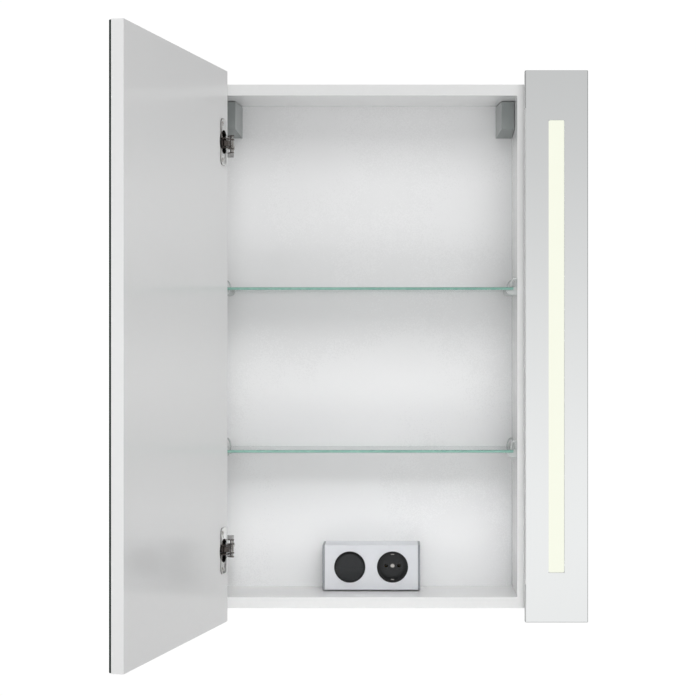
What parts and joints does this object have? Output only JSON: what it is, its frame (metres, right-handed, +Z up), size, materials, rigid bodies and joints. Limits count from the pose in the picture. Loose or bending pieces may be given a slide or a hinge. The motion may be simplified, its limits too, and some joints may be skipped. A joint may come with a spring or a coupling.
{
  "type": "mirror cabinet",
  "caption": "Wall-hung bathroom mirror cabinet with an opening mirror door, a fixed mirror with a lit strip, glass shelves, and a box with a switch and a socket.",
  "frame": {"origin": "on the wall plane, at the middle of the cabinet's width and height", "axes": "+X to the right as seen from the front, -Y out of the wall to the front, +Z up"},
  "size_m": [0.6245, 0.6034, 0.795],
  "materials": {
    "white_board": "white gloss laminate on particleboard",
    "silvered_glass": "silvered mirror glass, polished edge",
    "opal_plastic": "opal, lit from behind",
    "aluminium_profile": "anodised",
    "circuit_board": "white solder mask",
    "led_package": "phosphor",
    "driver_case": "moulded",
    "zinc_steel": "zinc plated",
    "felt": "soft pad",
    "beech": "bare",
    "shelf_glass": "clear float glass, ground edge",
    "clear_plastic": "clear moulded",
    "nickel_pin": "nickel plated",
    "nickel_steel": "nickel plated",
    "grey_plastic": "fine grain",
    "hanger_steel": "zinc plated",
    "box_shell": "silver anodised",
    "box_cap": "silver grey",
    "black_plastic": "moulded",
    "brass_contact": "bare",
    "earth_steel": "nickel plated",
    "black_rubber": "moulded"
  },
  "bodies": {
    "cabinet": {"back_panel": "white_board", "bottom_panel": "white_board", "bracket_screws": "zinc_steel", "cable_grommet": "black_rubber", "cam_fittings": "zinc_steel", "corner_dowels": "beech", "divider": "white_board", "fixed_front_board": "white_board", "fixed_mirror": "silvered_glass", "front_brackets": "zinc_steel", "front_spacers": "felt", "hanger_body_left": "hanger_steel", "hanger_body_right": "hanger_steel", "hanger_cover_left": "grey_plastic", "hanger_cover_right": "grey_plastic", "hanger_screws": "hanger_steel", "hinge_arm_lower": "nickel_steel", "hinge_arm_pins": "nickel_steel", "hinge_arm_screws": "nickel_steel", "hinge_arm_upper": "nickel_steel", "hinge_plate_lower": "nickel_steel", "hinge_plate_screws": "nickel_steel", "hinge_plate_upper": "nickel_steel", "led_chips": "led_package", "led_driver": "driver_case", "led_strip": "circuit_board", "light_channel": "aluminium_profile", "light_diffuser": "opal_plastic", "powerbox_end_left": "box_cap", "powerbox_end_right": "box_cap", "powerbox_housing": "box_shell", "shelf_lower": "shelf_glass", "shelf_support_pins": "nickel_pin", "shelf_supports_lower": "clear_plastic", "shelf_supports_upper": "clear_plastic", "shelf_upper": "shelf_glass", "side_left": "white_board", "side_right": "white_board", "socket_carrier": "black_plastic", "socket_contacts": "brass_contact", "socket_earth_clips": "earth_steel", "socket_screw": "earth_steel", "socket_well": "black_plastic", "switch_mechanism": "black_plastic", "switch_ring": "black_plastic", "top_panel": "white_board"},
    "outer_links": {"hinge_outer_link_upper": "nickel_steel", "hinge_outer_link_lower": "nickel_steel"},
    "inner_links": {"hinge_inner_links_upper": "nickel_steel", "hinge_inner_links_lower": "nickel_steel"},
    "door": {"door_board": "white_board", "door_mirror": "silvered_glass", "hinge_cup_upper": "nickel_steel", "hinge_cup_lower": "nickel_steel", "hinge_cup_pins": "nickel_steel", "hinge_cup_screws": "nickel_steel"},
    "rocker": {"switch_rocker": "black_plastic"},
    "hook_left": {"hanger_hook_left": "hanger_steel"},
    "hook_right": {"hanger_hook_right": "hanger_steel"}
  },
  "joints": [
    {"name": "door_hinge", "type": "hinge", "parent": "outer_links", "child": "door", "pos_m": [-0.25254, -0.16228, 0], "axis": [0, 0, -1], "range_deg": [-133.32, 0.5]},
    {"name": "outer_link_pivot", "type": "hinge", "parent": "cabinet", "child": "outer_links", "pos_m": [-0.2493, -0.1348, 0], "axis": [0, 0, -1], "range_deg": [0, 31.97]},
    {"name": "inner_link_pivot", "type": "hinge", "parent": "cabinet", "child": "inner_links", "pos_m": [-0.2383, -0.1473, 0], "axis": [0, 0, -1], "range_deg": [-0.5, 35.8]},
    {"name": "rocker_tilt", "type": "hinge", "parent": "cabinet", "child": "rocker", "pos_m": [-0.0701, -0.079, -0.3277], "axis": [-1, 0, 0], "range_deg": [0, 8]},
    {"name": "hook_left_height", "type": "slide", "parent": "cabinet", "child": "hook_left", "axis": [0, 0, 1], "range_m": [-0.005, 0.005]},
    {"name": "hook_right_height", "type": "slide", "parent": "cabinet", "child": "hook_right", "axis": [0, 0, 1], "range_m": [-0.005, 0.005]}
  ],
  "couplings": [
    {"joint": "door_hinge", "follows": "outer_link_pivot", "ratio": -4.1546},
    {"joint": "inner_link_pivot", "follows": "outer_link_pivot", "ratio": 1.1041}
  ]
}
